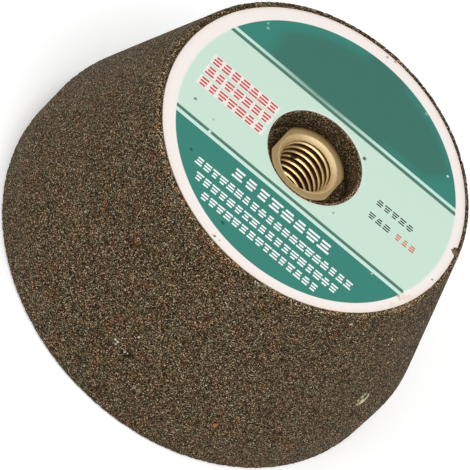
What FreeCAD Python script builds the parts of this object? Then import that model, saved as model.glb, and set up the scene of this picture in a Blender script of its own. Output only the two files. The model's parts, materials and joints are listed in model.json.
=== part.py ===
import FreeCAD, Part
import os

import Sketcher

# Bonded abrasive cup wheel that stands on its grinding rim, in millimetres.
# The origin is the centre of the rim's plane, +Z runs up the wheel's axis to the labelled back face,
# and +X runs along the label's printed bands.

doc = FreeCAD.newDocument("cup_wheel")
sizes = doc.addObject("Spreadsheet::Sheet", "sizes")

DRIVING_SIZES = [
    # the moulded cup
    ("rim_diameter", 100.0, "largest diameter, round the grinding rim"),
    ("back_diameter", 77.4, "flat back face that bears on the grinder"),
    ("cone_height", 41.0, "flaring part of the side"),
    ("band_height", 11.0, "straight band above the rim"),
    ("rim_width", 20.0, "wall at the grinding face"),
    ("bowl_taper", 5.0, "how much narrower the bowl is at its floor, on the radius"),
    ("web_thickness", 20.0, "from the bowl's floor to the back face"),
    ("bowl_floor_rounding", 6.0, "moulded corner round the bowl's floor"),
    ("rim_bevel", 0.4, "broken edges of the grinding rim"),
    ("back_bevel", 0.4, "broken edge round the back face"),
    ("well_depth", 7.0, "sunk well round the insert, from the back face"),
    ("well_gap", 2.05, "from the insert to the well's wall"),
    ("well_bevel", 0.3, "broken edge of the well's mouth"),
    # the turned insert that the cup is moulded round
    ("insert_diameter", 18.0, "outside of the insert"),
    ("flat_depth", 1.0, "cut into the outside by each of the two flats that stop the insert turning"),
    ("flats_turn", -5.6, "degrees from +X to the first flat's normal"),
    ("insert_setback", 3.0, "from the back face down to the insert's face"),
    ("insert_chamfer", 0.15, "broken outer edge of the insert's face"),
    ("thread_bore", 11.84, "tapping bore of the M14 x 2 thread"),
    ("thread_lead_in", 1.2, "countersink at both ends of the bore"),
    ("anchor_drop", 5.0, "from the well's floor down to the anchor groove"),
    ("anchor_width", 3.0, "anchor groove, along the axis"),
    ("anchor_depth", 0.7, "anchor groove, on the radius"),
    # the paper label, glued on slightly off centre
    ("label_margin", 1.2, "bare edge of the back face round the label"),
    ("label_thickness", 0.3, "paper and glue"),
    ("label_shift_right", 0.25, "label centre from the axis, along +X"),
    ("label_shift_down", 0.26, "label centre from the axis, along -Y"),
    ("punch_margin", 0.625, "from the well's wall to the label's punched hole"),
    ("punch_shift_right", 0.1, "punched hole from the axis, along +X"),
    ("punch_shift_down", 0.2, "punched hole from the axis, along -Y"),
]

for row, (alias, default, note) in enumerate(DRIVING_SIZES, start=1):
    sizes.set(f"A{row}", note)
    sizes.set(f"B{row}", str(default))
    sizes.setAlias(f"B{row}", alias)
doc.recompute()

# Radii and heights that follow from the driving sizes.
RIM_RADIUS = "sizes.rim_diameter / 2"
BACK_RADIUS = "sizes.back_diameter / 2"
BODY_HEIGHT = "(sizes.cone_height + sizes.band_height)"
BOWL_DEPTH = f"({BODY_HEIGHT} - sizes.web_thickness)"
BOWL_MOUTH_RADIUS = f"({RIM_RADIUS} - sizes.rim_width)"
BOWL_FLOOR_RADIUS = f"({BOWL_MOUTH_RADIUS} - sizes.bowl_taper)"
INSERT_RADIUS = "sizes.insert_diameter / 2"
FLAT_REACH = f"({INSERT_RADIUS} - sizes.flat_depth)"
WELL_RADIUS = f"({INSERT_RADIUS} + sizes.well_gap)"
WELL_FLOOR = f"({BODY_HEIGHT} - sizes.well_depth)"
INSERT_FACE = f"({BODY_HEIGHT} - sizes.insert_setback)"
BORE_RADIUS = "sizes.thread_bore / 2"
ANCHOR_TOP = f"({WELL_FLOOR} - sizes.anchor_drop)"
ANCHOR_BOTTOM = f"({ANCHOR_TOP} - sizes.anchor_width)"
ANCHOR_RADIUS = f"({INSERT_RADIUS} - sizes.anchor_depth)"
LABEL_RADIUS = f"({BACK_RADIUS} - sizes.label_margin)"
PUNCH_RADIUS = f"({WELL_RADIUS} + sizes.punch_margin)"

# How a sketch numbers its axes and the points of a curve.
X_AXIS, Y_AXIS = -1, -2
START, END, CENTRE = range(1, 4)
ORIGIN_POINT = (X_AXIS, START)

SAME_PLACE = 1e-4
LEAST_CHANGE = 1e-3


def number(expression):
    """The present value of an expression of the sheet's sizes."""
    value = sizes.evalExpression(expression)
    return float(getattr(value, "Value", value))


def new_body(label):
    body = doc.addObject("PartDesign::Body", label)
    body.Label = label
    body.Placement = FreeCAD.Placement()
    return body


def new_sketch(body, name, role, height=None, turn=None):
    """An empty sketch on one of the body's origin planes, raised and turned by expressions."""
    sketch = body.newObject("Sketcher::SketchObject", name)
    plane = next(f for f in body.Origin.OriginFeatures if f.Role == role)
    sketch.AttachmentSupport = [(plane, "")]
    sketch.MapMode = "FlatFace"
    if height:
        sketch.setExpression("AttachmentOffset.Base.z", height)
    if turn:
        sketch.setExpression("AttachmentOffset.Rotation.Angle", turn)
    return sketch


def tie(sketch, kind, name, ends, expression):
    """Add a dimension to a sketch and tie it to an expression of the sheet's sizes."""
    index = sketch.addConstraint(Sketcher.Constraint(kind, *ends, number(expression)))
    sketch.renameConstraint(index, name)
    sketch.setExpression(f"Constraints.{name}", expression)


def draw_outline(sketch, corners):
    """A closed outline of straight lines through named corners: (name, across, up), 0 on an axis."""
    spots = [FreeCAD.Vector(number(across), number(up), 0) for _, across, up in corners]
    count = len(spots)
    for i in range(count):
        sketch.addGeometry(Part.LineSegment(spots[i], spots[(i + 1) % count]), False)
    for i in range(count):
        sketch.addConstraint(Sketcher.Constraint("Coincident", i, END, (i + 1) % count, START))
    for i, (name, across, up) in enumerate(corners):
        if across == "0":
            sketch.addConstraint(Sketcher.Constraint("PointOnObject", i, START, Y_AXIS))
        else:
            tie(sketch, "DistanceX", f"{name}_across", (*ORIGIN_POINT, i, START), across)
        if up == "0":
            sketch.addConstraint(Sketcher.Constraint("PointOnObject", i, START, X_AXIS))
        else:
            tie(sketch, "DistanceY", f"{name}_up", (*ORIGIN_POINT, i, START), up)


def draw_circle(sketch, name, radius, right=None, down=None):
    """A circle round the axis, or shifted right and down from it by expressions."""
    centre = FreeCAD.Vector(number(right) if right else 0, -number(down) if down else 0, 0)
    axis = FreeCAD.Vector(0, 0, 1)
    circle = sketch.addGeometry(Part.Circle(centre, axis, number(radius)), False)
    tie(sketch, "Radius", f"{name}_radius", (circle,), radius)
    if right and down:
        tie(sketch, "DistanceX", f"{name}_right", (*ORIGIN_POINT, circle, CENTRE), right)
        tie(sketch, "DistanceY", f"{name}_down", (circle, CENTRE, *ORIGIN_POINT), down)
    else:
        sketch.addConstraint(Sketcher.Constraint("Coincident", circle, CENTRE, *ORIGIN_POINT))


def draw_flatted_round(sketch):
    """The insert's section: a circle cut off by two flats, which face along the sketch's X."""
    radius = number(INSERT_RADIUS)
    side = number(FLAT_REACH)
    end = (radius**2 - side**2) ** 0.5
    corners = [(side, -end), (side, end), (-side, end), (-side, -end)]
    low_right, top_right, top_left, low_left = [FreeCAD.Vector(x, y, 0) for x, y in corners]
    crown = FreeCAD.Vector(0, radius, 0)
    right_flat = sketch.addGeometry(Part.LineSegment(low_right, top_right), False)
    top_arc = sketch.addGeometry(Part.Arc(top_right, crown, top_left), False)
    left_flat = sketch.addGeometry(Part.LineSegment(top_left, low_left), False)
    low_arc = sketch.addGeometry(Part.Arc(low_left, -crown, low_right), False)
    loop = [right_flat, top_arc, left_flat, low_arc]
    for curve, following in zip(loop, loop[1:] + loop[:1]):
        sketch.addConstraint(Sketcher.Constraint("Coincident", curve, END, following, START))
    for arc in (top_arc, low_arc):
        sketch.addConstraint(Sketcher.Constraint("Coincident", arc, CENTRE, *ORIGIN_POINT))
    for flat in (right_flat, left_flat):
        sketch.addConstraint(Sketcher.Constraint("Vertical", flat))
    sketch.addConstraint(Sketcher.Constraint("Equal", top_arc, low_arc))
    tie(sketch, "Radius", "round_radius", (top_arc,), INSERT_RADIUS)
    tie(sketch, "DistanceX", "right_flat_reach", (*ORIGIN_POINT, right_flat, START), FLAT_REACH)
    tie(sketch, "DistanceX", "left_flat_reach", (left_flat, START, *ORIGIN_POINT), FLAT_REACH)


def draw_flat_cutter(sketch):
    """The block that a milling cutter takes off one side of the insert, centred on the sketch's X."""
    near, far = FLAT_REACH, "sizes.insert_diameter"
    left, right, reach = number(near), number(far), number(far)
    corners = [(left, -reach), (right, -reach), (right, reach), (left, reach)]
    spots = [FreeCAD.Vector(x, y, 0) for x, y in corners]
    for i in range(4):
        sketch.addGeometry(Part.LineSegment(spots[i], spots[(i + 1) % 4]), False)
    for i in range(4):
        sketch.addConstraint(Sketcher.Constraint("Coincident", i, END, (i + 1) % 4, START))
    low_side, right_side, top_side, flat_side = range(4)
    sketch.addConstraint(Sketcher.Constraint("Horizontal", low_side))
    sketch.addConstraint(Sketcher.Constraint("Horizontal", top_side))
    sketch.addConstraint(Sketcher.Constraint("Vertical", flat_side))
    mirrored = (right_side, START, right_side, END, X_AXIS)
    sketch.addConstraint(Sketcher.Constraint("Symmetric", *mirrored))
    tie(sketch, "DistanceX", "flat_reach", (*ORIGIN_POINT, flat_side, END), near)
    tie(sketch, "DistanceX", "far_reach", (*ORIGIN_POINT, right_side, END), far)
    tie(sketch, "DistanceY", "half_length", (*ORIGIN_POINT, right_side, END), far)


def volume_so_far(body):
    return body.Tip.Shape.Volume if body.Tip else 0.0


def finish_feature(body, feature, before, adds):
    """Recompute, and make sure that the feature really added or removed material."""
    doc.recompute()
    change = feature.Shape.Volume - before
    if (change > 0) != adds or abs(change) < LEAST_CHANGE:
        raise RuntimeError(f"{feature.Label} changed the volume by {change:.4f} mm3")
    body.Tip = feature


def spin(body, kind, name, sketch):
    """Turn a sketch once round the wheel's axis, as a Revolution that adds or a Groove that cuts."""
    before = volume_so_far(body)
    feature = body.newObject(f"PartDesign::{kind}", name)
    feature.Profile = sketch
    feature.ReferenceAxis = (sketch, ["V_Axis"])
    feature.Angle = 360.0
    finish_feature(body, feature, before, adds=kind == "Revolution")


def extrude(body, kind, name, sketch, length):
    """A Pad upwards from its sketch, or a Pocket downwards."""
    before = volume_so_far(body)
    feature = body.newObject(f"PartDesign::{kind}", name)
    feature.Profile = sketch
    feature.setExpression("Length", length)
    finish_feature(body, feature, before, adds=kind == "Pad")
    return feature


def dress(body, kind, name, circles, size):
    """Round or chamfer full circles round the axis, given as (radius, height) expressions."""
    tip = body.Tip
    edges = [edge for radius, height in circles for edge in ring_edges(tip, radius, height)]
    feature = body.newObject(f"PartDesign::{kind}", name)
    feature.Base = (tip, edges)
    feature.setExpression("Radius" if kind == "Fillet" else "Size", size)
    doc.recompute()
    body.Tip = feature


def ring_edges(feature, radius, height):
    """Names of the feature's full circles round the axis with this radius at this height."""
    found = []
    for index, edge in enumerate(feature.Shape.Edges, start=1):
        if not isinstance(edge.Curve, Part.Circle):
            continue
        same_radius = abs(edge.Curve.Radius - number(radius)) < SAME_PLACE
        same_height = abs(edge.Curve.Center.z - number(height)) < SAME_PLACE
        if same_radius and same_height:
            found.append(f"Edge{index}")
    if not found:
        raise RuntimeError(f"no edge of radius {number(radius)} at height {number(height)}")
    return found


def draw_anchor(sketch):
    """Section of the ring of abrasive that fills the insert's anchor groove."""
    root = f"({INSERT_RADIUS} + sizes.anchor_depth)"
    draw_outline(
        sketch,
        [
            ("low_inner", ANCHOR_RADIUS, ANCHOR_BOTTOM),
            ("low_outer", root, ANCHOR_BOTTOM),
            ("top_outer", root, ANCHOR_TOP),
            ("top_inner", ANCHOR_RADIUS, ANCHOR_TOP),
        ],
    )


def build_abrasive_cup():
    """The moulded cup: a flaring blank, a bowl below, and the insert's well and seat on top."""
    body = new_body("abrasive_cup")

    blank = new_sketch(body, "blank_profile", "XZ_Plane")
    draw_outline(
        blank,
        [
            ("rim_centre", "0", "0"),
            ("rim_edge", RIM_RADIUS, "0"),
            ("band_top", RIM_RADIUS, "sizes.band_height"),
            ("back_edge", BACK_RADIUS, BODY_HEIGHT),
            ("back_centre", "0", BODY_HEIGHT),
        ],
    )
    spin(body, "Revolution", "flaring_blank", blank)

    bowl = new_sketch(body, "bowl_profile", "XZ_Plane")
    draw_outline(
        bowl,
        [
            ("mouth_centre", "0", "0"),
            ("mouth_edge", BOWL_MOUTH_RADIUS, "0"),
            ("floor_edge", BOWL_FLOOR_RADIUS, BOWL_DEPTH),
            ("floor_centre", "0", BOWL_DEPTH),
        ],
    )
    spin(body, "Groove", "bowl", bowl)

    well = new_sketch(body, "well_outline", "XY_Plane", height=BODY_HEIGHT)
    draw_circle(well, "well", WELL_RADIUS)
    extrude(body, "Pocket", "insert_well", well, "sizes.well_depth")

    seat = new_sketch(body, "seat_outline", "XY_Plane", height=WELL_FLOOR, turn="sizes.flats_turn")
    draw_flatted_round(seat)
    extrude(body, "Pocket", "insert_seat", seat, "sizes.web_thickness - sizes.well_depth")

    anchor = new_sketch(body, "anchor_profile", "XZ_Plane")
    draw_anchor(anchor)
    spin(body, "Revolution", "anchor_ring", anchor)

    floor_corner = [(BOWL_FLOOR_RADIUS, BOWL_DEPTH)]
    rim_edges = [(RIM_RADIUS, "0"), (BOWL_MOUTH_RADIUS, "0")]
    back_edge = [(BACK_RADIUS, BODY_HEIGHT)]
    well_edge = [(WELL_RADIUS, BODY_HEIGHT)]
    dress(body, "Fillet", "floor_corner", floor_corner, "sizes.bowl_floor_rounding")
    dress(body, "Chamfer", "rim_edges", rim_edges, "sizes.rim_bevel")
    dress(body, "Chamfer", "back_edge", back_edge, "sizes.back_bevel")
    dress(body, "Chamfer", "well_edge", well_edge, "sizes.well_bevel")
    return body


def build_threaded_insert():
    """The turned insert, flush with the bowl's floor, bored for its thread and flatted on two sides."""
    body = new_body("threaded_insert")

    bar = new_sketch(body, "bar_outline", "XY_Plane", height=BOWL_DEPTH)
    draw_circle(bar, "outside", INSERT_RADIUS)
    draw_circle(bar, "bore", BORE_RADIUS)
    extrude(body, "Pad", "bored_bar", bar, "sizes.web_thickness - sizes.insert_setback")

    face_edge = [(INSERT_RADIUS, INSERT_FACE)]
    bore_ends = [(BORE_RADIUS, INSERT_FACE), (BORE_RADIUS, BOWL_DEPTH)]
    dress(body, "Chamfer", "face_chamfer", face_edge, "sizes.insert_chamfer")
    dress(body, "Chamfer", "thread_lead_ins", bore_ends, "sizes.thread_lead_in")

    anchor = new_sketch(body, "anchor_profile_of_insert", "XZ_Plane")
    draw_anchor(anchor)
    spin(body, "Groove", "anchor_groove", anchor)

    cutter = new_sketch(body, "flat_outline", "XY_Plane", height=INSERT_FACE, turn="sizes.flats_turn")
    draw_flat_cutter(cutter)
    flat_length = "sizes.web_thickness - sizes.insert_setback"
    flat = extrude(body, "Pocket", "first_flat", cutter, flat_length)
    before = volume_so_far(body)
    pair = body.newObject("PartDesign::PolarPattern", "two_flats")
    pair.Originals = [flat]
    pair.Axis = (cutter, ["N_Axis"])
    pair.Angle = 360.0
    pair.Occurrences = 2
    finish_feature(body, pair, before, adds=False)
    return body


def build_paper_label():
    """The round paper label, punched for the insert's well and lying on the back face."""
    body = new_body("paper_label")
    outline = new_sketch(body, "label_outline", "XY_Plane", height=BODY_HEIGHT)
    label_shift = ("sizes.label_shift_right", "sizes.label_shift_down")
    punch_shift = ("sizes.punch_shift_right", "sizes.punch_shift_down")
    draw_circle(outline, "edge", LABEL_RADIUS, *label_shift)
    draw_circle(outline, "punch", PUNCH_RADIUS, *punch_shift)
    extrude(body, "Pad", "label_sheet", outline, "sizes.label_thickness")
    return body


def check_document():
    """Stop if any object of the document is left failed or empty."""
    for thing in doc.Objects:
        if "Invalid" in thing.State or "Error" in thing.State:
            raise RuntimeError(f"{thing.Label} is {thing.State}")
        if thing.isDerivedFrom("Sketcher::SketchObject") and thing.solve() != 0:
            raise RuntimeError(f"{thing.Label} can't be solved")


bodies = [build_abrasive_cup(), build_threaded_insert(), build_paper_label()]
doc.recompute()
check_document()

os.makedirs("parts", exist_ok=True)
for body in bodies:
    if body.Shape.isNull() or not body.Shape.isValid() or len(body.Shape.Solids) != 1:
        raise RuntimeError(f"{body.Label} isn't one valid solid")
    body.Shape.exportStep(f"parts/{body.Label}.step")
    print(f"{body.Label}: {body.Shape.Volume:.1f} mm3")
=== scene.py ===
import json
import math

import bmesh
import bpy
import numpy as np
from mathutils import Matrix, Vector


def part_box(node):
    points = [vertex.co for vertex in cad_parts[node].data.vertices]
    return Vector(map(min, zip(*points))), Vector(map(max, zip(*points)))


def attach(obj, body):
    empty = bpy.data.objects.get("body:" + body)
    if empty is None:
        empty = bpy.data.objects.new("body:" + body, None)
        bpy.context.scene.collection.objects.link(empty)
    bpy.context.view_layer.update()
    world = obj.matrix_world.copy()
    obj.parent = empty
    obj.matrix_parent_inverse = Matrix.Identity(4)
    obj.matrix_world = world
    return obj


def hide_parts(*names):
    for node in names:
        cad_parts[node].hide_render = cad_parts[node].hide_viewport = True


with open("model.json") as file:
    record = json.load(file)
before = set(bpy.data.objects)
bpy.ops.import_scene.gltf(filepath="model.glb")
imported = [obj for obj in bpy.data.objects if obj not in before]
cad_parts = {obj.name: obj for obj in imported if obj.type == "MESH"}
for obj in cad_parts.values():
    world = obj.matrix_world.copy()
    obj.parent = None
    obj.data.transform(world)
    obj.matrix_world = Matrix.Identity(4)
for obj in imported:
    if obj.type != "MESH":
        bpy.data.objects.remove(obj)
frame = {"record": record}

mm = 0.001
fullTurn = 2 * math.pi
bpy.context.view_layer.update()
_, cupHigh = (np.array(corner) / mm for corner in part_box("abrasive_cup"))
insertLow, insertHigh = (np.array(corner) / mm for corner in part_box("threaded_insert"))
labelLow, labelHigh = (np.array(corner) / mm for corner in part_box("paper_label"))
chance = np.random.default_rng(27)


# Meshes. Every surface is a grid of rings round the wheel's axis, in millimetres. The rings follow the
# section anticlockwise, up the outside and in over the top, so that the faces point outwards.

def ringFaces(first, ringCount, around, closed=False):
    # quads between each ring and the next, and where the section is closed from the last to the first
    lower = np.arange(ringCount if closed else ringCount - 1)[:, None]
    lowerRow, upperRow = lower * around, (lower + 1) % ringCount * around
    here = np.arange(around)[None, :]
    beside = (here + 1) % around
    corners = [lowerRow + here, lowerRow + beside, upperRow + beside, upperRow + here]
    return first + np.stack(corners, -1).reshape(-1, 4)


def stepDownFaces(fineRing, coarseRing, coarseCount, fineComesFirst):
    # four triangles for each span of the coarse ring, which faces three spans of the fine one
    near = np.arange(coarseCount)
    fine = [fineRing + (3 * near + k) % (3 * coarseCount) for k in range(4)]
    here, beside = coarseRing + near, coarseRing + (near + 1) % coarseCount
    triangles = [(fine[0], fine[1], here), (fine[1], fine[2], here), (fine[2], fine[3], beside),
                 (fine[2], beside, here)]
    faces = np.concatenate([np.stack(triangle, -1) for triangle in triangles])
    return faces if fineComesFirst else faces[:, ::-1]


def sampleSection(rows):
    # Rows are radius, height, flatness and step. The run from a row to the next is straight and is cut
    # evenly into pieces near its step, and the last row, which has none, ends the section.
    points = []
    for (*start, step), end in zip(rows[:-1], rows[1:]):
        start, end = np.array(start, float), np.array(end[:3], float)
        count = max(1, round(np.linalg.norm((end - start)[:2]) / step))
        points.append(start + (end - start) * np.arange(count)[:, None] / count)
    return np.concatenate(points + [np.array(rows[-1:], float)])


def makeMesh(name, points, faceSets):
    mesh = bpy.data.meshes.new(name)
    faces = [face for faceSet in faceSets for face in faceSet.tolist()]
    mesh.from_pydata((points * mm).tolist(), [], faces)
    mesh.validate()
    mesh.shade_smooth()
    piece = bpy.data.objects.new(name, mesh)
    bpy.context.scene.collection.objects.link(piece)
    return piece


def mergeDoubles(piece, distance=2e-6):
    # join points that lie on each other, and drop the faces that this leaves without area
    surface = bmesh.new()
    surface.from_mesh(piece.data)
    bmesh.ops.remove_doubles(surface, verts=surface.verts, dist=distance)
    surface.to_mesh(piece.data)
    surface.free()


def sharpen(piece, degrees):
    piece.data.set_sharp_from_angle(angle=math.radians(degrees))


def setAttribute(piece, name, values):
    attribute = piece.data.attributes.new(name, "FLOAT", "POINT")
    attribute.data.foreach_set("value", np.asarray(values, np.float32).ravel())


def smoothNoise(shape, passes):
    # white noise on a grid, blended with its neighbours a few times and brought back to 0..1
    noise = chance.random(shape)
    for _ in range(passes):
        neighbours = [np.roll(noise, step, axis) for axis in (0, 1) for step in (1, -1)]
        noise = sum(neighbours, noise)
    noise -= noise.min()
    return noise / noise.max()


# Shader nodes.

def linear(red, green, blue):
    # a colour as it is seen on a screen, 0 to 255, turned into linear light
    seen = np.array([red, green, blue]) / 255
    light = np.where(seen <= 0.04045, seen / 12.92, ((seen + 0.055) / 1.055) ** 2.4)
    return (*[float(v) for v in light], 1.0)


def setInputs(tree, node, inputs):
    # inputs maps a socket's name or number to a plain value or to the output that feeds it
    for name, value in inputs.items():
        if isinstance(value, bpy.types.NodeSocket):
            tree.links.new(value, node.inputs[name])
        else:
            node.inputs[name].default_value = value


def addNode(tree, kind, inputs, **settings):
    node = tree.nodes.new(kind)
    for name, value in settings.items():
        setattr(node, name, value)
    setInputs(tree, node, inputs)
    return node.outputs


def calculate(tree, operation, *values, clamp=False):
    return addNode(tree, "ShaderNodeMath", dict(enumerate(values)), operation=operation, use_clamp=clamp)[0]


def multiply(tree, first, second):
    return calculate(tree, "MULTIPLY", first, second)


def multiplyAdd(tree, value, factor, added):
    return calculate(tree, "MULTIPLY_ADD", value, factor, added)


def subtract(tree, first, second):
    return calculate(tree, "SUBTRACT", first, second)


def distanceBetween(tree, value, other):
    return calculate(tree, "ABSOLUTE", subtract(tree, value, other))


def highest(tree, value, *others):
    for other in others:
        value = calculate(tree, "MAXIMUM", value, other)
    return value


def fade(tree, value, start, end):
    # 0 before start and 1 after end, smooth between them
    inputs = {"Value": value, "From Min": start, "From Max": end}
    return addNode(tree, "ShaderNodeMapRange", inputs, interpolation_type="SMOOTHSTEP")["Result"]


def mixValue(tree, share, under, over):
    return addNode(tree, "ShaderNodeMix", {0: share, 2: under, 3: over}, data_type="FLOAT")[0]


def mixColour(tree, share, under, over, blend="MIX"):
    inputs = {0: share, 6: under, 7: over}
    return addNode(tree, "ShaderNodeMix", inputs, data_type="RGBA", blend_type=blend)[2]


def cover(tree, colour, mask, share, over):
    # lay one colour over another where the mask is, as strongly as the share says
    return mixColour(tree, multiply(tree, mask, share), colour, over)


def colourSteps(tree, value, stops):
    ramp = tree.nodes.new("ShaderNodeValToRGB")
    tree.links.new(value, ramp.inputs["Fac"])
    elements = ramp.color_ramp.elements
    elements[0].position, elements[0].color = stops[0]
    elements[1].position, elements[1].color = stops[-1]
    for place, colour in stops[1:-1]:
        elements.new(place).color = colour
    return ramp.outputs["Color"]


def noiseValue(tree, place, scale, detail):
    return addNode(tree, "ShaderNodeTexNoise", {"Vector": place, "Scale": scale, "Detail": detail})[0]


def voronoiCells(tree, place, perMetre):
    # how far the nearest cell's middle is, and three random numbers of that cell's own
    cells = addNode(tree, "ShaderNodeTexVoronoi", {"Vector": place, "Scale": perMetre}, feature="F1")
    return cells["Distance"], addNode(tree, "ShaderNodeSeparateColor", {0: cells["Color"]})


def bumpNormal(tree, height, strength, distance):
    inputs = {"Height": height, "Strength": strength, "Distance": distance}
    return addNode(tree, "ShaderNodeBump", inputs)["Normal"]


def objectPlace(tree):
    return addNode(tree, "ShaderNodeTexCoord", {})["Object"]


def meshValue(tree, name):
    return addNode(tree, "ShaderNodeAttribute", {}, attribute_name=name)["Fac"]


def inMillimetres(tree, place):
    return addNode(tree, "ShaderNodeVectorMath", {0: place, "Scale": 1 / mm}, operation="SCALE")[0]


def alongAxes(tree, place):
    parts = addNode(tree, "ShaderNodeSeparateXYZ", {0: place})
    return parts["X"], parts["Y"], parts["Z"]


def distanceFrom(tree, x, y, centre):
    level = addNode(tree, "ShaderNodeCombineXYZ", {0: x, 1: y})[0]
    inputs = {0: level, 1: (*[float(v) for v in centre], 0.0)}
    return addNode(tree, "ShaderNodeVectorMath", inputs, operation="DISTANCE")["Value"]


def newMaterial(name):
    material = bpy.data.materials.new(name)
    material.use_nodes = True
    tree = material.node_tree
    return material, tree, tree.nodes["Principled BSDF"]


def newGroup(name, inputs, outputs):
    # an input whose default is None is a vector, and all other inputs and the outputs are numbers
    group = bpy.data.node_groups.new(name, "ShaderNodeTree")
    for socketName, default in inputs.items():
        kind = "NodeSocketVector" if default is None else "NodeSocketFloat"
        socket = group.interface.new_socket(name=socketName, in_out="INPUT", socket_type=kind)
        if default is not None:
            socket.default_value = default
    for socketName in outputs:
        group.interface.new_socket(name=socketName, in_out="OUTPUT", socket_type="NodeSocketFloat")
    return group, group.nodes.new("NodeGroupInput").outputs, group.nodes.new("NodeGroupOutput")


def useGroup(tree, group, inputs):
    return addNode(tree, "ShaderNodeGroup", inputs, node_tree=group)


def makeGrainGroup():
    # Packed grains: each cell of a Voronoi pattern is one grain with its own tone and gloss, and the
    # distance from its middle gives a rounded height, from which the dark gap round it, bond and painted
    # shade, is painted.
    group, given, result = newGroup(
        "packedGrains", {"Vector": None, "Grains Per Metre": 3500.0}, ["Tone", "Gloss", "Height"])
    distance, numbers = voronoiCells(group, given["Vector"], given["Grains Per Metre"])
    rounding = calculate(group, "SUBTRACT", 1.0, distance, clamp=True)
    lowest = 0.4              # a grain's own height, as a share of the tallest
    ownHeight = multiplyAdd(group, numbers["Blue"], 1 - lowest, lowest)
    setInputs(group, result, {
        "Tone": numbers["Red"],
        "Gloss": numbers["Blue"],
        "Height": multiply(group, rounding, ownHeight),
    })
    return group


def makeSpeckGroup():
    # Scattered specks: a Voronoi cell holds one where its random number is under the share, and the
    # speck is a blot round the cell's middle with a ragged edge.
    inputs = {"Vector": None, "Cells Per Metre": 400.0, "Share": 0.1, "Radius": 0.2}
    group, given, result = newGroup("scatteredSpecks", inputs, ["Mask"])
    distance, numbers = voronoiCells(group, given["Vector"], given["Cells Per Metre"])
    edgeScale, raggedness = 5000.0, 0.35
    edge = subtract(group, noiseValue(group, given["Vector"], edgeScale, 2.0), 0.5)
    reach = multiplyAdd(group, edge, raggedness, distance)
    inside = calculate(group, "LESS_THAN", reach, given["Radius"])
    chosen = calculate(group, "LESS_THAN", numbers["Red"], given["Share"])
    setInputs(group, result, {"Mask": multiply(group, inside, chosen)})
    return group


def makeSpotGroup():
    # One spot at a chosen place, in millimetres, with a ragged edge.
    group, given, result = newGroup(
        "placedSpot", {"Millimetres": None, "Place": None, "Radius": 1.0, "Raggedness": 0.5}, ["Mask"])
    away = addNode(group, "ShaderNodeVectorMath", {0: given["Millimetres"], 1: given["Place"]},
                   operation="DISTANCE")["Value"]
    edgeScale, softEdge = 2.2, (1.15, 0.75)
    edge = subtract(group, noiseValue(group, given["Millimetres"], edgeScale, 3.0), 0.5)
    shift = multiply(group, edge, given["Raggedness"])
    share = calculate(group, "DIVIDE", multiplyAdd(group, shift, 2.0, away), given["Radius"])
    setInputs(group, result, {"Mask": fade(group, share, *softEdge)})
    return group


packedGrains = makeGrainGroup()
scatteredSpecks = makeSpeckGroup()
placedSpot = makeSpotGroup()


def grainValues(tree, place, perMetre):
    return useGroup(tree, packedGrains, {"Vector": place, "Grains Per Metre": perMetre})


def speckMask(tree, place, specks):
    # specks are the cells per metre, the share of them that holds one, and its radius in cells
    perMetre, share, radius = specks
    inputs = {"Vector": place, "Cells Per Metre": perMetre, "Share": share, "Radius": radius}
    return useGroup(tree, scatteredSpecks, inputs)["Mask"]


def addStains(tree, colour, millimetres, stains, raggedness=0.6):
    # each stain is a place, a radius, a colour as seen on a screen, and how strongly it covers
    for place, radius, seen, share in stains:
        inputs = {"Millimetres": millimetres, "Place": place, "Radius": radius,
                  "Raggedness": radius * raggedness}
        colour = cover(tree, colour, useGroup(tree, placedSpot, inputs)["Mask"], share, linear(*seen))
    return colour


# The moulded cup. The insert's values stand with the cup's, because the seat takes its sizes from them.

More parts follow.
